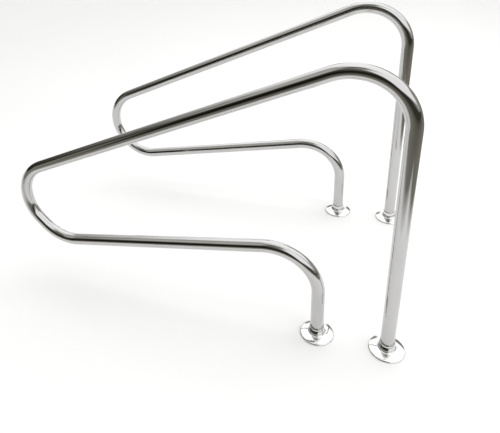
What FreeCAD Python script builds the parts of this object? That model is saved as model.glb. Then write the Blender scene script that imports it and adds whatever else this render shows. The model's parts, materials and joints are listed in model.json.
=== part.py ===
import FreeCAD, Part
import math
import os

os.makedirs("parts", exist_ok=True)

# A pair of return-to-deck pool stair rails, in millimetres.
# The origin is the centre of the left rail's tall foot, on the deck surface. The rails
# reach out over the steps along -X, the right rail stands at +Y, and +Z is up.

# ---- rail tube ------------------------------------------------------------
TUBE_OD = 43.0
TUBE_WALL = 1.65
OVERALL_LENGTH = 1378.0   # one rail, over the outside of the tube
OVERALL_HEIGHT = 959.0    # deck to the top of the tall bend
POST_SPACING = 218.0      # tall post to short post, centre to centre
RAIL_SPACING = 735.0      # left rail to right rail, centre to centre
BEND_RADIUS = 155.0       # centre line, one die for all four bends
OUTER_BEND_Z = 380.8      # deck to the centre of the upper bend at the outer end
NOSE_ANGLE = 49.5         # degrees below level, return leg at the outer end
NOSE_STRAIGHT = 28.0      # straight stretch of the return leg
LOWER_SLOPE = 9.7         # degrees, lower run rising back towards the short post

# ---- deck anchors ---------------------------------------------------------
GASKET_T = 1.0
GASKET_MARGIN = 1.0       # gasket past the edge of the plate
PLATE_T = 4.0
PLATE_MARGIN = 4.0        # screw heads to the edge of the plate
PLATE_CHAMFER = 0.6
SPIGOT_H = 64.0           # above the plate
SPIGOT_WALL = 3.0
SPIGOT_CHAMFER = 1.0
SCREW_R = 3.0             # M6 countersunk
SCREW_COUNT = 4
SCREW_START = 45.0        # degrees, first screw from +X
SCREW_LENGTH = 25.0       # over the head
HEAD_R = 6.0              # 90 degree head, flush with the plate
HEAD_LAND = 0.4           # upright edge of the head
HEAD_SUNK = 0.1           # below the top of the plate
HEAD_ROOM = 4.5           # tube to the edge of a head
HEAD_SOCKET_AF = 4.0
HEAD_SOCKET_DEPTH = 2.2
INSERT_R = 5.0            # threaded socket, set in resin in the deck
INSERT_LENGTH = 60.0
INSERT_BORE_DEPTH = 24.0
INSERT_POINT = 2.0        # chamfer at the buried end
KEY_COUNT = 3             # grooves that key the socket into the resin
KEY_START = 12.0          # deck surface to the first groove
KEY_PITCH = 14.0
KEY_W = 2.0
KEY_DEPTH = 0.5
GASKET_HOLE_GAP = 0.3     # radial, round the sockets
SET_SCREW_R = 3.0         # M6 cup point
SET_SCREW_COUNT = 3
SET_SCREW_START = 90.0    # degrees, first screw from +X
SET_SCREW_UP = 13.0       # above the end of the tube
SET_SCREW_SUNK = 0.25     # below the tube's surface
SET_SCREW_POKE = 0.6      # past the inside of the spigot
SOCKET_AF = 3.0
SOCKET_DEPTH = 2.4

# ---- covers ---------------------------------------------------------------
COVER_T = 1.2             # spun sheet
COVER_H = 35.0
COVER_MARGIN = 14.0       # edge of the plate to the cover's rim
RIM_ROUND = 5.0           # radius of the rolled rim that stands on the deck
EDGE_SLOPE = 20.0         # degrees the dome falls where it meets the rim
ROOT_SLOPE = 6.0          # and where it leaves the hollow round the collar
COLLAR_FLARE = 7.0        # radius of the hollow between dome and collar
COLLAR_WALL = 1.0         # outside the seal groove
COLLAR_GAP = 0.5          # radial, collar to tube
COLLAR_ROUND = 0.8
EDGE_BREAK = 0.3
RING_R = 1.0              # section of the O-ring
RING_DROP = 5.0           # ring's centre below the top of the collar
GROOVE_GAP = 0.15
RUN = 0.05                # radial running clearance

# ---- what follows from them -----------------------------------------------
R_OUT = TUBE_OD / 2.0
R_IN = R_OUT - TUBE_WALL
SPIGOT_R = R_IN - RUN
SPIGOT_BORE = SPIGOT_R - SPIGOT_WALL
SCREW_CIRCLE_R = R_OUT + HEAD_ROOM + HEAD_R
PLATE_R = SCREW_CIRCLE_R + HEAD_R + PLATE_MARGIN
COVER_R = PLATE_R + COVER_MARGIN
PLATE_TOP = GASKET_T + PLATE_T
HEAD_TOP = PLATE_TOP - HEAD_SUNK
SET_SCREW_Z = PLATE_TOP + SET_SCREW_UP
COLLAR_BORE = R_OUT + COLLAR_GAP
RING_MID = R_OUT + RUN + RING_R
GROOVE_R = RING_MID + RING_R + RUN
COLLAR_R = GROOVE_R + COLLAR_WALL
RING_Z = COVER_H - RING_DROP

V = FreeCAD.Vector
ORIGIN = V(0, 0, 0)
UP = V(0, 0, 1)


def circle_angles(count, start):
    return [start + 360.0 / count * i for i in range(count)]


def outward(angle):
    return V(math.cos(math.radians(angle)), math.sin(math.radians(angle)), 0)


def disc(r, z, h):
    """Upright cylinder of height h standing at z."""
    return Part.makeCylinder(r, h, V(0, 0, z))


def spoke(r, start, end, z, angle, x=0.0):
    """Cylinder along a radius of the post at x, from radius start to radius end."""
    u = outward(angle)
    return Part.makeCylinder(r, end - start, V(x, 0, z) + u * start, u)


def turned(outline):
    """Solid of revolution about Z from an (r, z) outline."""
    points = [V(r, 0, z) for r, z in outline]
    return Part.Face(Part.makePolygon(points + points[:1])).revolve(ORIGIN, UP, 360)


def prism(corners, along):
    return Part.Face(Part.makePolygon(corners + corners[:1])).extrude(along)


def at_screws(solid):
    """Copies of a solid drawn on the Z axis, one at each deck screw."""
    return [solid.translated(outward(a) * SCREW_CIRCLE_R) for a in circle_angles(SCREW_COUNT, SCREW_START)]


def hexagon(centre, across_flats, u, v):
    """Corners of a hexagon in the plane of u and v."""
    k = across_flats / math.sqrt(3.0)
    return [centre + u * (k * outward(60 * i).x) + v * (k * outward(60 * i).y) for i in range(6)]


# ---- the rail -------------------------------------------------------------
def rail_route():
    """Travel directions and bend centres of one rail in its own plane, as (x, z)."""
    r = BEND_RADIUS
    tall = (-r, OVERALL_HEIGHT - R_OUT - r)
    outer = (r - OVERALL_LENGTH + TUBE_OD, OUTER_BEND_Z)
    # the handrail run touches both upper bends from above, so it follows the line of their centres
    a = math.atan2(tall[1] - outer[1], tall[0] - outer[0])
    n, l = math.radians(NOSE_ANGLE), math.radians(LOWER_SLOPE)
    ways = [(0, 1), (-math.cos(a), -math.sin(a)), (math.cos(n), -math.sin(n)),
            (math.cos(l), math.sin(l)), (0, -1)]
    under = (outer[0] + NOSE_STRAIGHT * ways[2][0], outer[1] + NOSE_STRAIGHT * ways[2][1])
    # the last bend turns the other way, so its centre lies across the lower run
    across = (under[0] + 2 * r * ways[3][1], under[1] - 2 * r * ways[3][0])
    short_x = -POST_SPACING - r
    short = (short_x, across[1] + (short_x - across[0]) * math.tan(l))
    return ways, [tall, outer, under, short]


def rod_face(at, along, r):
    return Part.Face(Part.Wire([Part.makeCircle(r, at, along)]))


def rail_rod(r):
    """The rail filled to radius r: post, four bends with straights between them, post."""
    ways, centres = rail_route()
    pieces = []
    here = V(0, 0, PLATE_TOP)
    for (cx, cz), (ix, iz), (ox, oz) in zip(centres, ways, ways[1:]):
        turn = math.degrees(math.atan2(ix * oz - iz * ox, ix * ox + iz * oz))
        arm = math.copysign(BEND_RADIUS, turn)
        start = V(cx + arm * iz, 0, cz - arm * ix)
        pieces.append(rod_face(here, start - here, r).extrude(start - here))
        pivot = V(0, -math.copysign(1, turn), 0)
        pieces.append(rod_face(start, V(ix, 0, iz), r).revolve(V(cx, 0, cz), pivot, abs(turn)))
        here = V(cx + arm * oz, 0, cz - arm * ox)
    end = V(-POST_SPACING, 0, PLATE_TOP)
    pieces.append(rod_face(here, end - here, r).extrude(end - here))
    return pieces[0].multiFuse(pieces[1:])


def rail_tube():
    tube = rail_rod(R_OUT).cut(rail_rod(R_IN))
    through = 2.0
    holes = [spoke(SET_SCREW_R + RUN, R_IN - through, R_OUT + through, SET_SCREW_Z, a, x)
             for x in (0.0, -POST_SPACING)
             for a in circle_angles(SET_SCREW_COUNT, SET_SCREW_START)]
    return tube.cut(Part.makeCompound(holes))


# ---- one foot, drawn round the Z axis -------------------------------------
def head_outline(gap):
    """Countersunk head as an (r, z) outline, grown by gap for the seat in the plate."""
    top = PLATE_TOP if gap else HEAD_TOP
    cone_foot = HEAD_TOP - HEAD_LAND - (HEAD_R - SCREW_R)
    return [(SCREW_R + gap, cone_foot), (HEAD_R + gap, HEAD_TOP - HEAD_LAND), (HEAD_R + gap, top)]


def base_gasket():
    hole = disc(INSERT_R + GASKET_HOLE_GAP, 0, GASKET_T)
    ring = disc(PLATE_R + GASKET_MARGIN, 0, GASKET_T).cut(disc(SPIGOT_BORE, 0, GASKET_T))
    return [ring.cut(Part.makeCompound(at_screws(hole)))]


def base_plate():
    c = PLATE_CHAMFER
    plate = turned([(SPIGOT_R + RUN, GASKET_T), (PLATE_R, GASKET_T), (PLATE_R, PLATE_TOP - c),
                    (PLATE_R - c, PLATE_TOP), (SPIGOT_R + RUN, PLATE_TOP)])
    above = PLATE_TOP + 1.0
    seat = turned([(0, 0), (SCREW_R + RUN, 0)] + head_outline(RUN) + [(HEAD_R + RUN, above), (0, above)])
    return [plate.cut(Part.makeCompound(at_screws(seat)))]


def base_spigot():
    top, c = PLATE_TOP + SPIGOT_H, SPIGOT_CHAMFER
    spigot = turned([(SPIGOT_BORE, GASKET_T), (SPIGOT_R, GASKET_T), (SPIGOT_R, top - c),
                     (SPIGOT_R - c, top), (SPIGOT_BORE, top)])
    through = 2.0
    holes = [spoke(SET_SCREW_R + RUN, SPIGOT_BORE - through, SPIGOT_R + through, SET_SCREW_Z, a)
             for a in circle_angles(SET_SCREW_COUNT, SET_SCREW_START)]
    return [spigot.cut(Part.makeCompound(holes))]


def set_screw(angle):
    end = R_OUT - SET_SCREW_SUNK
    screw = spoke(SET_SCREW_R, SPIGOT_BORE - SET_SCREW_POKE, end, SET_SCREW_Z, angle)
    u = outward(angle)
    floor = UP * SET_SCREW_Z + u * (end - SOCKET_DEPTH)
    return screw.cut(prism(hexagon(floor, SOCKET_AF, outward(angle + 90), UP), u * (SOCKET_DEPTH + 1.0)))


def set_screws():
    return [set_screw(a) for a in circle_angles(SET_SCREW_COUNT, SET_SCREW_START)]


def anchor_screws():
    tip = HEAD_TOP - SCREW_LENGTH
    screw = turned([(0, tip), (SCREW_R, tip)] + head_outline(0) + [(0, HEAD_TOP)])
    floor = UP * (HEAD_TOP - HEAD_SOCKET_DEPTH)
    socket = prism(hexagon(floor, HEAD_SOCKET_AF, V(1, 0, 0), V(0, 1, 0)), UP * (HEAD_SOCKET_DEPTH + 1.0))
    return at_screws(screw.cut(socket))


def anchor_sockets():
    """Blind threaded sockets that stand in the deck, flush with its surface."""
    outer = [(INSERT_R, 0)]
    for i in range(KEY_COUNT):
        top = -KEY_START - KEY_PITCH * i
        outer += [(INSERT_R, top), (INSERT_R - KEY_DEPTH, top),
                  (INSERT_R - KEY_DEPTH, top - KEY_W), (INSERT_R, top - KEY_W)]
    outer += [(INSERT_R, INSERT_POINT - INSERT_LENGTH), (INSERT_R - INSERT_POINT, -INSERT_LENGTH)]
    bore = SCREW_R + RUN
    inner = [(0, -INSERT_LENGTH), (0, -INSERT_BORE_DEPTH), (bore, -INSERT_BORE_DEPTH), (bore, 0)]
    return at_screws(turned(outer + inner))


def line(p, q):
    return Part.makeLine(V(p[0], 0, p[1]), V(q[0], 0, q[1]))


def polyline(points):
    return [line(p, q) for p, q in zip(points, points[1:])]


def round_corner(corner, r, dx, dz):
    """Quarter circle at a square corner, from (x + dx r, z) to (x, z + dz r)."""
    x, z = corner
    k = r * (1 - math.sqrt(0.5))
    return Part.Arc(V(x + dx * r, 0, z), V(x + dx * k, 0, z + dz * k), V(x, 0, z + dz * r)).toShape()


def on_circle(mid, radius, angle):
    """Point of a circle in the XZ plane, angle in degrees up from +X."""
    turn = math.radians(angle)
    return mid + V(radius * math.cos(turn), 0, radius * math.sin(turn))


def arc(mid, radius, start, end):
    return Part.Arc(*(on_circle(mid, radius, a) for a in (start, (start + end) / 2.0, end))).toShape()


def cover():
    """Spun cover: rolled rim, low dome, hollow, and a tall collar with a groove for the seal inside."""
    rim_mid = V(COVER_R - RIM_ROUND, 0, 0)
    rim_top = on_circle(rim_mid, RIM_ROUND, 90 - EDGE_SLOPE)
    fall_edge, fall_root = (math.sin(math.radians(a)) for a in (EDGE_SLOPE, ROOT_SLOPE))
    root_r = COLLAR_R + COLLAR_FLARE * (1 - fall_root)
    dome_radius = (rim_top.x - root_r) / (fall_edge - fall_root)
    dome_mid = on_circle(rim_top, dome_radius, 270 - EDGE_SLOPE)
    root = on_circle(dome_mid, dome_radius, 90 - ROOT_SLOPE)
    flare_mid = on_circle(root, COLLAR_FLARE, 90 - ROOT_SLOPE)
    groove_top, groove_foot = (RING_Z + s * (RING_R + GROOVE_GAP) for s in (1, -1))

    edges = [arc(rim_mid, RIM_ROUND, 0, 90 - EDGE_SLOPE),
             arc(dome_mid, dome_radius, 90 - EDGE_SLOPE, 90 - ROOT_SLOPE),
             arc(flare_mid, COLLAR_FLARE, 270 - ROOT_SLOPE, 180)]
    edges += polyline([(COLLAR_R, flare_mid.z), (COLLAR_R, COVER_H - COLLAR_ROUND)])
    edges.append(round_corner((COLLAR_R, COVER_H), COLLAR_ROUND, -1, -1))
    edges += polyline([(COLLAR_R - COLLAR_ROUND, COVER_H), (COLLAR_BORE + EDGE_BREAK, COVER_H),
                       (COLLAR_BORE, COVER_H - EDGE_BREAK), (COLLAR_BORE, groove_top), (GROOVE_R, groove_top),
                       (GROOVE_R, groove_foot), (COLLAR_BORE, groove_foot), (COLLAR_BORE, flare_mid.z),
                       (COLLAR_R - COVER_T, flare_mid.z)])
    edges += [arc(flare_mid, COLLAR_FLARE + COVER_T, 180, 270 - ROOT_SLOPE),
              arc(dome_mid, dome_radius - COVER_T, 90 - ROOT_SLOPE, 90 - EDGE_SLOPE),
              arc(rim_mid, RIM_ROUND - COVER_T, 90 - EDGE_SLOPE, 0)]
    edges += polyline([(COVER_R - COVER_T, 0), (COVER_R, 0)])
    return [Part.Face(Part.Wire(edges)).revolve(ORIGIN, UP, 360)]


def cover_seal_ring():
    return [Part.makeTorus(RING_MID, RING_R, V(0, 0, RING_Z), UP)]


# ---- the sub-parts, one file each -----------------------------------------
def save(name, solids, x, y):
    shape = solids[0] if len(solids) == 1 else Part.makeCompound(solids)
    shape = shape.translated(V(x, y, 0))
    shape.exportStep("parts/%s.step" % name)
    print("%-30s solids %d valid %s volume %.1f" % (name, len(shape.Solids), shape.isValid(), shape.Volume))


rail = rail_tube()
foot = {make.__name__: make() for make in (base_gasket, base_plate, base_spigot, set_screws, anchor_screws,
                                           anchor_sockets, cover, cover_seal_ring)}
for side, y in (("left", 0.0), ("right", RAIL_SPACING)):
    save(side + "_rail_tube", [rail], 0.0, y)
    for post, x in (("tall", 0.0), ("short", -POST_SPACING)):
        for name, solids in foot.items():
            save("%s_%s_%s" % (side, post, name), solids, x, y)
centres = rail_route()[1]
print("straight post tops", round(centres[0][1], 1), round(centres[3][1], 1))
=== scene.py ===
# %% [markdown]
# # A pair of pool stair rails
# Each rail is one stainless tube, bent four times on the same die and polished until it mirrors
# its surroundings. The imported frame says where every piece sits, so this lesson adds what the
# frame can't carry: smooth polished surfaces, their finish, and a small studio round them.

# %% Load the frame
import json
import math

import bmesh
import bpy
from mathutils import Matrix, Vector

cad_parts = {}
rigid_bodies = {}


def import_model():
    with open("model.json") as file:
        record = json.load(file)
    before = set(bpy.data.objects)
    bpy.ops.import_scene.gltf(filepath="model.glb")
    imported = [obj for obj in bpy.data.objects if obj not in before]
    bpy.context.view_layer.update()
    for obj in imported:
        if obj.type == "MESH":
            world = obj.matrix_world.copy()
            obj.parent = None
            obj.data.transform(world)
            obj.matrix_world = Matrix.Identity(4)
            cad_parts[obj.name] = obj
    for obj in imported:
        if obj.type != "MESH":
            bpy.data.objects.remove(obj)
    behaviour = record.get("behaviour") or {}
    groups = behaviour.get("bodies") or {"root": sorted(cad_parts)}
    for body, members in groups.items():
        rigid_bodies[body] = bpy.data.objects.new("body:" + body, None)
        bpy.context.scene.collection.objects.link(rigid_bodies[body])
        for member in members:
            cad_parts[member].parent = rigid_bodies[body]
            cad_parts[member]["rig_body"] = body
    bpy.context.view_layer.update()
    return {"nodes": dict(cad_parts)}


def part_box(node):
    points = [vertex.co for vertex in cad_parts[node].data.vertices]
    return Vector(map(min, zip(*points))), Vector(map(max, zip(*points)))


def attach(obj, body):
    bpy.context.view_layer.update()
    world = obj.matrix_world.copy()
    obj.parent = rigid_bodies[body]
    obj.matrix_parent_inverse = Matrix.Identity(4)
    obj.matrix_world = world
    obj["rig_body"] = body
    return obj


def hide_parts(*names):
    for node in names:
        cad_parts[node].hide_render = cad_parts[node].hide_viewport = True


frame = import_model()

MM = 0.001
SIDES = ("left", "right")
POSTS = ("tall", "short")
FEET = [side + "_" + post for side in SIDES for post in POSTS]

# %% [markdown]
# ## The camera
# The viewer stands beside the left rail and looks down and across to the right one. The rails
# sit off the centre of the view, so the lens is shifted a little instead of the camera being
# turned, which keeps the same vanishing points.

# %% Camera
SENSOR = 36.0
LENS = 34.096
SHIFT = (0.1496, -0.1701)
EYE = Vector((-0.0978, -1.2080, 1.3531))
TURN = Vector((2.0028, 0.3297, -0.3483))   # axis and angle from the frame to right, down, ahead
VIEW_DEPTH = 100.0

camera = bpy.data.objects.new("camera", bpy.data.cameras.new("camera"))
camera.data.sensor_width = SENSOR
camera.data.lens = LENS
camera.data.shift_x, camera.data.shift_y = SHIFT
camera.data.clip_end = VIEW_DEPTH
right, down, ahead = Matrix.Rotation(TURN.length, 3, TURN.normalized())
camera.matrix_world = Matrix.Translation(EYE) @ Matrix((right, -down, -ahead)).transposed().to_4x4()
bpy.context.scene.collection.objects.link(camera)
bpy.context.scene.camera = camera
print("looking along", tuple(round(v, 2) for v in ahead))

# %% [markdown]
# ## Shader maths as Python
# A finish is mostly arithmetic on coordinates and noise. Each node could be added and linked by
# hand, but ten such lines hide one line of arithmetic. Wrapping a socket in a small class lets
# it be written as an expression, and each operator adds the Math node it stands for.

# %% A socket that can be calculated with
class Field:
    """An output socket of a node tree that Python can calculate with."""

    def __init__(self, graph, socket):
        self.graph, self.socket = graph, socket

    def math(self, operation, *others, swap=False):
        values = [self, *others]
        if swap:
            values.reverse()
        return self.graph.node("ShaderNodeMath", {"operation": operation}, dict(enumerate(values)))

    def __add__(self, other): return self.math("ADD", other)
    def __radd__(self, other): return self.math("ADD", other)
    def __sub__(self, other): return self.math("SUBTRACT", other)
    def __rsub__(self, other): return self.math("SUBTRACT", other, swap=True)
    def __mul__(self, other): return self.math("MULTIPLY", other)
    def __rmul__(self, other): return self.math("MULTIPLY", other)
    def __pow__(self, other): return self.math("POWER", other)


print("operators on a socket: + - * **")

# %% [markdown]
# ## One method for every other node
# Settings such as a Math node's operation decide which sockets a node has, so they are set
# first, and then each input gets a value or a link. Colours and vectors go through Mix and
# Vector Math, because a Math node would turn a colour grey.

# %% The node builder
def opaque(colour):
    """The RGBA colour of an RGB one. A socket stays as it is."""
    return colour if isinstance(colour, Field) else (*colour, 1.0)


class Graph:
    """Builds one material or world, a node at a time."""

    def __init__(self, owner):
        owner.use_nodes = True
        self.tree = owner.node_tree
        self.tree.nodes.clear()

    def node(self, kind, settings=None, inputs=None, out=0):
        made = self.tree.nodes.new(kind)
        for name, value in (settings or {}).items():
            if name == "stops":
                ramp = made.color_ramp.elements
                while len(ramp) < len(value):
                    ramp.new(1.0)
                for stop, (place, colour) in zip(ramp, value):
                    stop.position = place
                    stop.color = opaque(colour)
            else:
                setattr(made, name, value)
        for name, value in (inputs or {}).items():
            if isinstance(value, Field):
                self.tree.links.new(value.socket, made.inputs[name])
            else:
                made.inputs[name].default_value = value
        if not made.outputs:
            return made
        if out == "all":
            return [Field(self, socket) for socket in made.outputs]
        return Field(self, made.outputs[out])

    def clamped(self, field, low, high, to_low=0.0, to_high=1.0):
        """Straight ramp from low..high to to_low..to_high, held at both ends."""
        return self.node("ShaderNodeMapRange", {"clamp": True}, {
            "Value": field, "From Min": low, "From Max": high, "To Min": to_low, "To Max": to_high})

    def mix(self, amount, a, b):
        """Colour a where amount is 0 and b where it is 1."""
        colours = {0: amount, 6: opaque(a), 7: opaque(b)}
        return self.node("ShaderNodeMix", {"data_type": "RGBA"}, colours, out=2)

    def noise(self, where, scale, detail=3.0, roughness=0.5):
        return self.node("ShaderNodeTexNoise", None, {
            "Vector": where, "Scale": scale, "Detail": detail, "Roughness": roughness})

    def dot(self, vector, way):
        return self.node("ShaderNodeVectorMath", {"operation": "DOT_PRODUCT"}, {0: vector, 1: way}, out=1)

    def separate(self, vector):
        return self.node("ShaderNodeSeparateXYZ", None, {0: vector}, out="all")

    def combine(self, x, y, z):
        return self.node("ShaderNodeCombineXYZ", None, {0: x, 1: y, 2: z})

    def bump(self, height, strength, distance):
        return self.node("ShaderNodeBump", None, {
            "Height": height, "Strength": strength, "Distance": distance})


# %% A material from what varies and what doesn't
def material(name, build, **fixed):
    """A Principled material. build(graph) returns the sockets that vary, and fixed ones don't."""
    made = bpy.data.materials.new(name)
    graph = Graph(made)
    sockets = {key.replace("_", " "): value for key, value in fixed.items()}
    sockets.update(build(graph))
    shader = graph.node("ShaderNodeBsdfPrincipled", None, sockets)
    graph.node("ShaderNodeOutputMaterial", None, {"Surface": shader})
    print("material:", name)
    return made


# %% [markdown]
# ## Polished tube
# The tube is buffed along its length with a felt wheel. What is left is a mirror with a soft
# wander in it, a few faint lines along the tube and thumb-sized hazy patches. A noise on Object
# coordinates would run straight across the bends. The tube's own UV map gives metres along it
# and round it instead, so the lines follow every bend.

# %% Rail finish
STEEL = (0.555, 0.55, 0.55)
STEEL_SHADE = (0.515, 0.51, 0.505)
# how often a mark repeats in a metre along the tube and round it, and its place in the noise
LINES, PATCHES = (6.0, 900.0, 0.0), (9.0, 26.0, 1.7)
WANDER, DRAWS = (14.0, 30.0, 4.1), (1.1, 140.0, 7.3)
BUFF_DEPTH = 0.5 * MM


def buffed_tube(graph):
    along, around, _ = graph.separate(graph.node("ShaderNodeUVMap", {"uv_map": "tube"}))

    def marks(repeat, detail, roughness):
        place = graph.combine(along * repeat[0], around * repeat[1], repeat[2])
        return graph.noise(place, 1.0, detail, roughness)

    lines = marks(LINES, 4.0, 0.6)
    haze = graph.clamped(marks(PATCHES, 3.0, 0.55), 0.45, 0.75)
    wander, draws = marks(WANDER, 1.0, 0.4), marks(DRAWS, 1.0, 0.4)
    return {
        "Base Color": graph.mix(haze, STEEL, STEEL_SHADE),
        "Roughness": 0.02 + haze * 0.03 + graph.clamped(lines, 0.55, 0.8) * 0.02,
        "Normal": graph.bump(wander + draws * 0.10 + lines * 0.01, 0.25, BUFF_DEPTH),
    }


rail_steel = material("polished_tube", buffed_tube, Metallic=1.0)
print("nodes in it:", len(rail_steel.node_tree.nodes))

# %% [markdown]
# ## Spun cover, plain steel and rubber
# The covers are spun on a lathe, so their marks run in circles round the post. A cover needs no
# UV map for that: the distance from the post's axis is worked out from Object coordinates, and
# a noise on that distance alone is made of rings. The plate and screws under the covers are
# only ground or turned, and the gasket and seal are moulded rubber.

# %% Cover finish
COVER_STEEL, COVER_SHADE = (0.74, 0.74, 0.735), (0.69, 0.69, 0.685)
RING_DEPTH = 0.05 * MM
OBJECT = 3      # the Object output of Texture Coordinate


def ring_marks(centre):
    """Finish of a cover spun round the point centre."""
    def build(graph):
        place = graph.node("ShaderNodeTexCoord", out=OBJECT)
        x, y, z = graph.separate(place)
        radius = ((x - centre[0]) ** 2.0 + (y - centre[1]) ** 2.0) ** 0.5
        rings = graph.noise(graph.combine(radius * 2600.0, z * 900.0, 0.0), 1.0, 3.0, 0.6)
        haze = graph.clamped(graph.noise(place, 60.0, 3.0), 0.5, 0.8)
        return {
            "Base Color": graph.mix(haze, COVER_STEEL, COVER_SHADE),
            "Roughness": 0.05 + haze * 0.03 + graph.clamped(rings, 0.55, 0.8) * 0.04,
            "Normal": graph.bump(rings, 0.12, RING_DEPTH),
        }
    return build


print("ring marks deep, mm:", round(RING_DEPTH / MM, 3))

# %% Plate, screw and rubber finishes
PLATE_DARK, PLATE_PALE = (0.50, 0.50, 0.495), (0.62, 0.615, 0.60)
SCREW_DARK, SCREW_PALE = (0.46, 0.46, 0.455), (0.58, 0.58, 0.57)
RUBBER_BLACK, RUBBER_BLOOM = (0.018, 0.018, 0.018), (0.045, 0.044, 0.042)
GRAIN_DEPTH = 0.1 * MM


def ground_plate(graph):
    place = graph.node("ShaderNodeTexCoord", out=OBJECT)
    x, y, z = graph.separate(place)
    grain = graph.noise(graph.combine(x * 40.0, y * 2400.0, z * 400.0), 1.0, 4.0, 0.6)
    blotch = graph.noise(place, 35.0, 3.0)
    return {
        "Base Color": graph.mix(blotch, PLATE_DARK, PLATE_PALE),
        "Roughness": 0.28 + grain * 0.16,
        "Normal": graph.bump(grain, 0.25, GRAIN_DEPTH),
    }


def turned_screw(graph):
    x, y, z = graph.separate(graph.node("ShaderNodeTexCoord", out=OBJECT))
    marks = graph.noise(graph.combine(x * 300.0, y * 300.0, z * 3000.0), 1.0, 3.0)
    return {
        "Base Color": graph.mix(marks, SCREW_DARK, SCREW_PALE),
        "Roughness": 0.3 + marks * 0.15,
        "Normal": graph.bump(marks, 0.2, GRAIN_DEPTH),
    }


def moulded_rubber(graph):
    place = graph.node("ShaderNodeTexCoord", out=OBJECT)
    skin = graph.noise(place, 900.0, 3.0)
    bloom = graph.clamped(graph.noise(place, 45.0, 3.0), 0.5, 0.85)
    return {
        "Base Color": graph.mix(bloom, RUBBER_BLACK, RUBBER_BLOOM),
        "Roughness": 0.62 + bloom * 0.2,
        "Normal": graph.bump(skin, 0.3, GRAIN_DEPTH),
    }


plate_steel = material("ground_plate", ground_plate, Metallic=1.0)
screw_steel = material("turned_screw", turned_screw, Metallic=1.0)
rubber = material("moulded_rubber", moulded_rubber)

# %% [markdown]
# ## The rail's line
# A bender works with straight lengths, angles and one radius, and so does this line. It could
# be drawn as a curve with handles, but then no bend would have the die's radius exactly. The
# frame gives the tube's ends and its overall size. The angles and the radius are stated here.

# %% Rail dimensions
rail_low, rail_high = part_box("left_rail_tube")
TUBE_R = 21.5 * MM
TUBE_WALL = 1.65 * MM
BEND_R = 155.0 * MM
OUTER_BEND_Z = 380.8 * MM
NOSE_STRAIGHT = 28.0 * MM
NOSE_ANGLE = math.radians(49.5)
LOWER_SLOPE = math.radians(9.7)
TUBE_FOOT = rail_low.z
SHORT_POST_X = sum(corner.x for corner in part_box("left_short_base_plate")) / 2
SET_SCREW_Z = sum(corner.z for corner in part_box("left_tall_set_screws")) / 2


def bend_table():
    """The four bends as (centre, way in, way out), each an (x, z) vector in the rail's plane."""
    tall = Vector((-BEND_R, rail_high.z - TUBE_R - BEND_R))
    outer = Vector((rail_low.x + TUBE_R + BEND_R, OUTER_BEND_Z))
    falling = (outer - tall).normalized()
    returning = Vector((math.cos(NOSE_ANGLE), -math.sin(NOSE_ANGLE)))
    rising = Vector((math.cos(LOWER_SLOPE), math.sin(LOWER_SLOPE)))
    under = outer + returning * NOSE_STRAIGHT
    # the last bend turns the other way, so its centre is on the far side of the lower run
    across = under + 2 * BEND_R * Vector((rising.y, -rising.x))
    short_x = SHORT_POST_X - BEND_R
    short = Vector((short_x, across.y + (short_x - across.x) * math.tan(LOWER_SLOPE)))
    ways = [Vector((0, 1)), falling, returning, rising, Vector((0, -1))]
    return list(zip((tall, outer, under, short), ways, ways[1:]))


BENDS = bend_table()
print("bends, degrees:", [round(math.degrees(way_in.angle(way_out)), 1) for _, way_in, way_out in BENDS])

# %% [markdown]
# ## Sweeping the tube
# A mirror shows every flat in its mesh. So the tube isn't a curve with a coarse bevel: a fine
# circle is pushed along the line, by small moves on the straights and small turns in the bends,
# and each ring's distance along the tube is kept for the UV map. The wall comes last.

# %% Pushing a ring along
AROUND = 96
STRAIGHT_STEP = 30.0 * MM
BEND_STEP = math.radians(2.0)
EASE = 2.0 * MM           # short ring next to a bend, so that its shading stays local


class Sweep:
    """A ring of vertices that is pushed along, leaving a tube behind it."""

    def __init__(self, radius, start):
        self.bm = bmesh.new()
        self.along = self.bm.verts.layers.float.new("along")
        made = bmesh.ops.create_circle(self.bm, segments=AROUND, radius=radius,
                                       matrix=Matrix.Translation(start))
        self.ring, self.edges = made["verts"], self.bm.edges[:]
        self.centre, self.length = Vector(start), 0.0

    def push(self, matrix, distance):
        made = bmesh.ops.extrude_edge_only(self.bm, edges=self.edges)["geom"]
        self.ring = [e for e in made if isinstance(e, bmesh.types.BMVert)]
        self.edges = [e for e in made if isinstance(e, bmesh.types.BMEdge)
                      and all(v in self.ring for v in e.verts)]
        bmesh.ops.transform(self.bm, matrix=matrix, verts=self.ring)
        self.centre = matrix @ self.centre
        self.length += distance
        for vert in self.ring:
            vert[self.along] = self.length

    def straight(self, end):
        run = end - self.centre
        way, total = run.normalized(), run.length
        steps = max(1, round((total - 2 * EASE) / STRAIGHT_STEP))
        for part in [EASE] + [(total - 2 * EASE) / steps] * steps + [EASE]:
            self.push(Matrix.Translation(way * part), part)

    def bend(self, pivot, angle):
        steps = max(1, round(abs(angle) / BEND_STEP))
        turn = Matrix.Rotation(angle / steps, 4, "Y")
        about = Matrix.Translation(pivot) @ turn @ Matrix.Translation(-pivot)
        for _ in range(steps):
            self.push(about, BEND_R * abs(angle) / steps)


print("ring of", AROUND, "pushed by", STRAIGHT_STEP, "m or", round(math.degrees(BEND_STEP), 1), "degrees")

# %% [markdown]
# ## Unrolling the tube and shading it
# The draw marks need to know where they are on the tube. An automatic unwrap would cut a bent tube
# into islands, but here each vertex already carries its distance, so the UV map is only read off.
# Every piece is then shaded smooth, and an edge stays sharp only where two faces really meet.

# %% UV map and finished mesh
SHARP = 35.0              # degrees between two faces from which their edge shows as an edge


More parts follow.
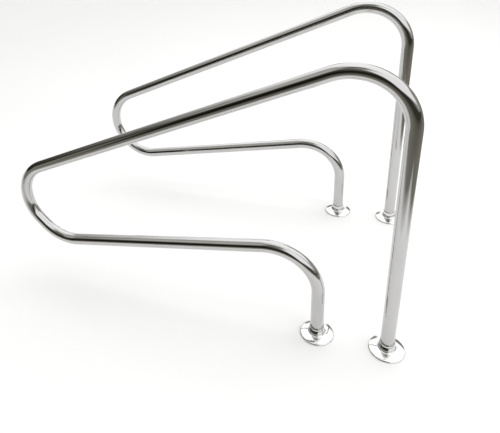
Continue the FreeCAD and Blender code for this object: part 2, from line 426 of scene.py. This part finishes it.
def lay_uv(bm, along, radius):
    """UV in metres: u along the tube, v round it, with the seam on each ring's first vertex."""
    uv = bm.loops.layers.uv.new("tube")
    bm.verts.index_update()
    for face in bm.faces:
        turns = [vert.index % AROUND for vert in face.verts]
        wraps = max(turns) - min(turns) > AROUND / 2
        for loop, turn in zip(face.loops, turns):
            step = turn + AROUND if wraps and turn < AROUND / 2 else turn
            loop[uv].uv = (loop.vert[along], step / AROUND * 2 * math.pi * radius)


def finished(name, bm, finish, sharp=SHARP):
    """Mesh object from a bmesh, smooth but for its real edges."""
    mesh = bpy.data.meshes.new(name)
    bm.to_mesh(mesh)
    bm.free()
    mesh.shade_smooth()
    mesh.set_sharp_from_angle(angle=math.radians(sharp))
    mesh.materials.append(finish)
    made = bpy.data.objects.new(name, mesh)
    bpy.context.scene.collection.objects.link(made)
    return made


print("edges stay sharp from", SHARP, "degrees")

# %% [markdown]
# ## One tube
# The sweep starts at the foot of the tall post and runs to the foot of the short one. The table
# says where each straight ends, and the sign of the turn says on which side the bend's centre is.

# %% One tube with its wall
def rail_tube(side):
    """One rail's tube, swept and given its wall, and the y of its plane."""
    y = sum(corner.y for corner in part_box(side + "_rail_tube")) / 2
    sweep = Sweep(TUBE_R, (0, y, TUBE_FOOT))
    for centre, way_in, way_out in BENDS:
        turn = math.atan2(way_in.x * way_out.y - way_in.y * way_out.x, way_in.dot(way_out))
        arm = math.copysign(BEND_R, turn)
        sweep.straight(Vector((centre.x + arm * way_in.y, y, centre.y - arm * way_in.x)))
        sweep.bend(Vector((centre.x, y, centre.y)), -turn)
    sweep.straight(Vector((SHORT_POST_X, y, TUBE_FOOT)))
    lay_uv(sweep.bm, sweep.along, TUBE_R)
    bmesh.ops.recalc_face_normals(sweep.bm, faces=sweep.bm.faces)
    bmesh.ops.solidify(sweep.bm, geom=sweep.bm.faces[:], thickness=TUBE_WALL)
    tube = finished(side + "_tube", sweep.bm, rail_steel)
    print(side, "tube length m", round(sweep.length, 3))
    return tube, y


# %% [markdown]
# ## Set screw holes
# Three set screws go through the tube's wall at each foot. The drill is a set of short rods, and
# one Boolean takes all six out of the finished wall, which is simpler than weaving round holes
# into the sweep. It is applied at once, so no modifier is left on the tube.

# %% Drilling
SET_SCREW_R = 3.05 * MM
SET_SCREW_ANGLES = (90, 210, 330)
DRILL_DEPTH = 8.0 * MM
DRILL_SIDES = 32


def set_screw_drill(y):
    """Short rods where the set screws go through the wall, at both feet of the rail."""
    bm = bmesh.new()
    for x in (0.0, SHORT_POST_X):
        for angle in SET_SCREW_ANGLES:
            turn = Matrix.Rotation(math.radians(angle), 4, "Z")
            lie = turn @ Matrix.Translation((TUBE_R, 0, 0)) @ Matrix.Rotation(math.pi / 2, 4, "Y")
            bmesh.ops.create_cone(bm, cap_ends=True, segments=DRILL_SIDES, depth=DRILL_DEPTH,
                                  radius1=SET_SCREW_R, radius2=SET_SCREW_R,
                                  matrix=Matrix.Translation((x, y, SET_SCREW_Z)) @ lie)
    return bm


def drilled(tube, y):
    """The tube with its set screw holes cut."""
    drill = finished("drill", set_screw_drill(y), rail_steel)
    cut = tube.modifiers.new("holes", "BOOLEAN")
    cut.operation, cut.solver, cut.object = "DIFFERENCE", "EXACT", drill
    graph = bpy.context.evaluated_depsgraph_get()
    mesh = bpy.data.meshes.new_from_object(tube.evaluated_get(graph))
    tube.modifiers.clear()
    tube.data = mesh
    bpy.data.objects.remove(drill)
    return tube


# %% [markdown]
# ## Both rails
# The right rail is the left one again, further along y. Each tube stands for its CAD node, has the
# polished tube's material, and rides on the body that is fixed to the deck.

# %% Both rails
for side in SIDES:
    tube = drilled(*rail_tube(side))
    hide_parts(side + "_rail_tube")
    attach(tube, "fixed_rails")
    print(tube.name, "faces:", len(tube.data.polygons))

# %% [markdown]
# ## The covers
# Each foot is hidden by a cover spun from sheet: a rim rolled down to the deck, a low dome, a
# hollow that sweeps up, and a collar with a rounded lip. All its curves run into each other, and
# that is what makes its reflections flow. The outline is a chain of vertices laid along arcs,
# each of which starts where the last one ends, and it is spun a full turn.

# %% Cover outline
cover_low, cover_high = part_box("left_tall_cover")
COVER_R = (cover_high.x - cover_low.x) / 2
COVER_H = cover_high.z - cover_low.z
COVER_T = 1.2 * MM
RIM_ROUND = 5.0 * MM
EDGE_SLOPE = math.radians(20.0)
ROOT_SLOPE = math.radians(6.0)
COLLAR_R = 24.6 * MM
COLLAR_BORE = 22.0 * MM
COLLAR_FLARE = 7.0 * MM
COLLAR_ROUND = 0.8 * MM
LIP_ROUND = 0.4 * MM
UPRIGHT, HALF_TURN = math.pi / 2, math.pi
RIM_STEPS, DOME_STEPS, FLARE_STEPS, COLLAR_STEPS, LIP_STEPS = 12, 12, 16, 6, 4


def on_circle(mid, radius, angle):
    return mid + radius * Vector((math.cos(angle), math.sin(angle)))


def arc(mid, radius, start, end, count):
    """Points (r, z) of an arc, both ends included."""
    return [on_circle(mid, radius, start + (end - start) * i / count) for i in range(count + 1)]


def cover_outline():
    """Outline of the cover's wall: over the outside from the rim to the lip, and back inside."""
    rim_mid = Vector((COVER_R - RIM_ROUND, 0.0))
    rim_top = on_circle(rim_mid, RIM_ROUND, UPRIGHT - EDGE_SLOPE)
    fall_edge, fall_root = math.sin(EDGE_SLOPE), math.sin(ROOT_SLOPE)
    root_r = COLLAR_R + COLLAR_FLARE * (1 - fall_root)
    dome_radius = (rim_top.x - root_r) / (fall_edge - fall_root)
    dome_mid = on_circle(rim_top, dome_radius, -UPRIGHT - EDGE_SLOPE)
    root = on_circle(dome_mid, dome_radius, UPRIGHT - ROOT_SLOPE)
    flare_mid = on_circle(root, COLLAR_FLARE, UPRIGHT - ROOT_SLOPE)

    def skin(depth):
        """Rim, dome and hollow at a depth under the outside surface."""
        edge, root_way = UPRIGHT - EDGE_SLOPE, UPRIGHT - ROOT_SLOPE
        return (arc(rim_mid, RIM_ROUND - depth, 0, edge, RIM_STEPS)
                + arc(dome_mid, dome_radius - depth, edge, root_way, DOME_STEPS)[1:]
                + arc(flare_mid, COLLAR_FLARE + depth, root_way + HALF_TURN, HALF_TURN, FLARE_STEPS)[1:])

    collar_mid = Vector((COLLAR_R - COLLAR_ROUND, COVER_H - COLLAR_ROUND))
    lip_mid = Vector((COLLAR_BORE + LIP_ROUND, COVER_H - LIP_ROUND))
    lip = (arc(collar_mid, COLLAR_ROUND, 0, UPRIGHT, COLLAR_STEPS)
           + arc(lip_mid, LIP_ROUND, UPRIGHT, HALF_TURN, LIP_STEPS))
    return skin(0.0) + lip + [Vector((COLLAR_BORE, flare_mid.y))] + skin(COVER_T)[::-1]


print("cover outline:", len(cover_outline()), "points, height mm", round(COVER_H / MM, 2))

# %% [markdown]
# ## Spinning the covers
# A full spin brings the last copy of the outline onto the first, so the two are merged, and the
# faces are turned outwards because a spin can leave them inside out. Each cover has a material
# of its own, as its ring marks run round its own post.

# %% Covers
COVER_SPIN = 128
SEAM_GAP = 0.001 * MM


def spun_cover(foot):
    centre = sum(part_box(foot + "_cover"), Vector()) / 2
    bm = bmesh.new()
    verts = [bm.verts.new((centre.x + r, centre.y, z)) for r, z in cover_outline()]
    edges = [bm.edges.new(pair) for pair in zip(verts, verts[1:] + verts[:1])]
    bmesh.ops.spin(bm, geom=verts + edges, cent=(centre.x, centre.y, 0), axis=(0, 0, 1),
                   angle=2 * math.pi, steps=COVER_SPIN, use_merge=True)
    bmesh.ops.remove_doubles(bm, verts=bm.verts, dist=SEAM_GAP)
    bmesh.ops.recalc_face_normals(bm, faces=bm.faces)
    finish = material(foot + "_spun_steel", ring_marks(centre), Metallic=1.0)
    made = finished(foot + "_spun_cover", bm, finish)
    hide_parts(foot + "_cover")
    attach(made, foot + "_cover_body")
    print(made.name, "faces:", len(made.data.polygons))


for foot in FEET:
    spun_cover(foot)

# %% [markdown]
# ## Under the covers
# The plate, spigot, screws, sockets, gasket and seal come from the frame with the right shape, but
# as loose triangles, so their round faces would shade as facets. A copy of each is merged into
# one surface and stands for it, and the frame's own mesh is left alone.

# %% Merged copies of the hidden pieces
HIDDEN = {
    "base_plate": (plate_steel, "plate_steel"),
    "base_spigot": (plate_steel, "plate_steel"),
    "base_gasket": (rubber, "gasket_rubber"),
    "cover_seal_ring": (rubber, "seal_rubber"),
    "set_screws": (screw_steel, "fastener_steel"),
    "anchor_screws": (screw_steel, "fastener_steel"),
    "anchor_sockets": (screw_steel, "fastener_steel"),
}
MERGE_GAP = 0.002 * MM
FINE_SHARP = 30.0


def merged_copy(node, finish):
    bm = bmesh.new()
    bm.from_mesh(frame["nodes"][node].data)
    bmesh.ops.remove_doubles(bm, verts=bm.verts, dist=MERGE_GAP)
    made = finished(node + "_smooth", bm, finish, sharp=FINE_SHARP)
    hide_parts(node)
    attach(made, frame["nodes"][node]["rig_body"])


for foot in FEET:
    for piece, (finish, slot) in HIDDEN.items():
        merged_copy(foot + "_" + piece, finish)
print("hidden pieces copied:", len(FEET) * len(HIDDEN))

# %% [markdown]
# ## Studio floor and backdrop
# The picture needs a plain pale floor and the same pale tone behind it from every side. The
# backdrop is a large dome that only the camera sees: it neither lights the rails nor shows in
# them, so what the polished steel mirrors can be arranged separately.

# %% Who sees a stage piece, and light without a lamp
def seen_by(staged, camera=False, glossy=False, diffuse=False, shadow=False):
    """Stage piece that only the given kinds of ray meet."""
    staged.visible_camera, staged.visible_glossy = camera, glossy
    staged.visible_diffuse, staged.visible_transmission = diffuse, diffuse
    staged.visible_shadow = shadow
    print("stage piece:", staged.name)


def glowing(name, build):
    """A material of light alone. build(graph) returns its colour and how much of it shows."""
    made = bpy.data.materials.new(name)
    graph = Graph(made)
    colour, shows = build(graph)
    glow = graph.node("ShaderNodeEmission", None, {"Color": colour})
    clear = graph.node("ShaderNodeBsdfTransparent")
    surface = graph.node("ShaderNodeMixShader", None, {0: shows, 1: clear, 2: glow})
    graph.node("ShaderNodeOutputMaterial", None, {"Surface": surface})
    return made


# %% Floor and backdrop
FLOOR_HALF = 14.0
FLOOR_DROP = 0.3 * MM       # just under the deck's level, so that it doesn't cut the covers' feet
FLOOR_TONES = (0.88, 0.88, 0.88), (0.91, 0.91, 0.91)
CLOUD_SCALE = 0.8
BACKDROP_R = 12.0
BACKDROP_TONE = (0.97, 0.97, 0.97)


def level_sheet(name, z, finish):
    bm = bmesh.new()
    bmesh.ops.create_grid(bm, x_segments=2, y_segments=2, size=FLOOR_HALF,
                          matrix=Matrix.Translation((0, 0, z)))
    return finished(name, bm, finish)


def pale_floor(graph):
    cloud = graph.noise(graph.node("ShaderNodeTexCoord", out=OBJECT), CLOUD_SCALE, 2.0)
    return {"Base Color": graph.mix(cloud, *FLOOR_TONES)}


def backdrop_tone(graph):
    return opaque(BACKDROP_TONE), 1.0


floor = level_sheet("floor", -FLOOR_DROP, material("pale_floor", pale_floor, Roughness=0.9))
seen_by(floor, camera=True, glossy=True, diffuse=True, shadow=True)

bm = bmesh.new()
bmesh.ops.create_uvsphere(bm, u_segments=64, v_segments=32, radius=BACKDROP_R)
bmesh.ops.reverse_faces(bm, faces=bm.faces)
seen_by(finished("backdrop", bm, glowing("backdrop_tone", backdrop_tone)), camera=True)

# %% [markdown]
# ## What the steel mirrors
# Polished steel has almost no look of its own: its bands are the room. The light comes from a
# wide bright ceiling that leans over the far right, and the walls on the viewer's side are dim.
# The room is painted on the world, where a direction is a point on a sphere: its dot product
# with another direction is the cosine between them, and a ramp turns that into a tone.

# %% Ceiling
LAMP_WAY = (0.354, 0.612, 0.707)      # towards the middle of the bright ceiling
# tone by the cosine to LAMP_WAY, remapped from -1..1 to 0..1. The dim walls are a little olive.
CEILING = [(0.20, (0.027, 0.026, 0.019)), (0.30, (0.042, 0.040, 0.031)),
           (0.40, (0.070, 0.068, 0.055)), (0.50, (0.135, 0.132, 0.112)),
           (0.55, (0.20, 0.197, 0.172)), (0.61, (0.30, 0.296, 0.27)),
           (0.675, (0.43, 0.43, 0.41)), (0.725, (0.60, 0.60, 0.59)),
           (0.80, (0.90, 0.90, 0.90)), (0.85, (1.0, 1.0, 1.0))]
BEAM_SPREAD = (1.6, 2.0, 15.0)        # the beams lie level, so they repeat fastest up the walls
BEAM_DEPTH = 0.45

room = bpy.data.worlds.new("room")
bpy.context.scene.world = room
graph = Graph(room)
way = graph.node("ShaderNodeTexCoord", out=0)
x, y, z = graph.separate(way)
facing = graph.dot(way, LAMP_WAY)
ceiling = graph.node("ShaderNodeValToRGB", {"stops": CEILING}, {0: facing * 0.5 + 0.5})
dim_foot = graph.clamped(z + x * 0.22, 0.10, 0.45, 0.28, 1.0)
spread = graph.combine(*(axis * scale for axis, scale in zip((x, y, z), BEAM_SPREAD)))
beams = graph.clamped(graph.noise(spread, 1.0, 2.0, 0.6), 0.32, 0.68, -BEAM_DEPTH, BEAM_DEPTH)
beams = 1.0 + beams * graph.clamped(facing, 0.25, 0.72, 1.0, 0.0)
tone = graph.node("ShaderNodeVectorMath", {"operation": "SCALE"}, {0: ceiling, "Scale": dim_foot * beams})
print("ceiling tones:", len(CEILING))

# %% [markdown]
# ## Furnishing the room
# A white wall stands behind the rails, and a few soft-edged panels stand for a window, a door
# frame and furniture. They are what gives a mirror its short strokes, above all in the covers.

# %% Walls and panels
ROOM_LIGHT = 1.5
WALL_TONE = (0.97, 0.97, 0.97)
PANELS = [  # azimuth, elevation, width, height, soft edge, tone
    (-32, 30, 64, 42, 6, (0.90, 0.90, 0.90)),     # window wall
    (35, 7, 46, 26, 7, (0.26, 0.255, 0.235)),     # low furniture
    (-138, 45, 34, 22, 9, (0.42, 0.415, 0.385)),  # pale patch on the dim wall
    (-145, 7, 15, 22, 8, (0.20, 0.195, 0.165)),   # door frame
    (69, 18, 24, 20, 5, (0.16, 0.158, 0.145)),    # dark frame on the white wall, right
    (107, 23, 13, 12, 5, (0.16, 0.158, 0.145)),   # dark frame on the white wall, left
    (-84, 64, 26, 16, 8, (0.13, 0.128, 0.11)),    # dark beam over the viewer
]
FRONT_OF_PANEL = 0.2      # cosine from which a panel counts as ahead and not behind


def panel(azimuth, elevation, width, height, soft):
    """Mask of a soft-edged patch of the room, all in degrees, seen from the rails."""
    az, el = math.radians(azimuth), math.radians(elevation)
    level = (-math.sin(az), math.cos(az), 0.0)
    upward = (-math.cos(az) * math.sin(el), -math.sin(az) * math.sin(el), math.cos(el))
    centre = (math.cos(az) * math.cos(el), math.sin(az) * math.cos(el), math.sin(el))
    mask = graph.clamped(graph.dot(way, centre), 0.0, FRONT_OF_PANEL)
    for axis, size in ((level, width), (upward, height)):
        off = graph.dot(way, axis).math("ABSOLUTE")
        half, edge = math.sin(math.radians(size / 2)), math.sin(math.radians(soft / 2))
        mask = mask * graph.clamped(off, half - edge, half + edge, 1.0, 0.0)
    return mask


below = graph.clamped(z, 0.35, 0.55, 1.0, 0.0)
leftward = graph.clamped(x, 0.25, 0.42, 1.0, 0.0)
tone = graph.mix(graph.clamped(y, 0.58, 0.93) * below * leftward, tone, WALL_TONE)
for azimuth, elevation, width, height, soft, shade in PANELS:
    tone = graph.mix(panel(azimuth, elevation, width, height, soft), tone, shade)
light = graph.node("ShaderNodeBackground", None, {"Color": tone, "Strength": ROOM_LIGHT})
graph.node("ShaderNodeOutputWorld", None, {"Surface": light})
print("panels in the room:", len(PANELS))

# %% [markdown]
# ## The dark floor past the sheet
# The rails stand on a white sheet that ends a little in front of them, and the room's own floor
# is dark. That edge draws the dark line under each tube. It is a card on the floor that only
# mirror reflections see, so the floor in the picture stays plain.

# %% Dark floor past the sheet
SHEET_FRONT = -0.78
SHEET_SLANT = 0.12
SHEET_END = 0.75
FRONT_FADE, END_FADE = (-0.25, 0.15), 0.15
NEAR_DARK, FAR_DARK = (0.27, 0.262, 0.22), (0.05, 0.048, 0.036)


def room_floor(graph):
    x, y, _ = graph.separate(graph.node("ShaderNodeTexCoord", out=OBJECT))
    past_front = graph.clamped(y + x * SHEET_SLANT - SHEET_FRONT, *FRONT_FADE, 1.0, 0.0)
    past_end = graph.clamped(x, SHEET_END - END_FADE, SHEET_END + END_FADE)
    shows = graph.node("ShaderNodeMath", {"operation": "MAXIMUM"}, {0: past_front, 1: past_end})
    near = graph.clamped(y - x * 0.5, -3.5, -0.6)
    return graph.mix(near, FAR_DARK, NEAR_DARK), shows


seen_by(level_sheet("room_floor", FLOOR_DROP, glowing("room_floor", room_floor)), glossy=True)

# %% [markdown]
# ## Overhead lamp
# The room alone would light the floor evenly. One wide lamp high up adds the faint soft shadow
# that seats the rails on it. Mirrors don't see the lamp, so no disc shows in the tubes.

# %% Overhead lamp
LAMP_AT, LAMP_AIM = Vector((0.8, 1.2, 4.0)), Vector((-0.6, 0.4, 0.0))
LAMP_SIZE = 4.0
LAMP_POWER = 60.0

lamp = bpy.data.objects.new("overhead", bpy.data.lights.new("overhead", "AREA"))
lamp.data.shape = "DISK"
lamp.data.size = LAMP_SIZE
lamp.data.energy = LAMP_POWER
lamp.location = LAMP_AT
lamp.rotation_euler = (LAMP_AIM - LAMP_AT).to_track_quat("-Z", "Y").to_euler()
lamp.visible_glossy = False
bpy.context.scene.collection.objects.link(lamp)

bpy.context.scene.view_settings.view_transform = "Standard"
bpy.context.scene.view_settings.look = "None"
print("lamp at", tuple(lamp.location))
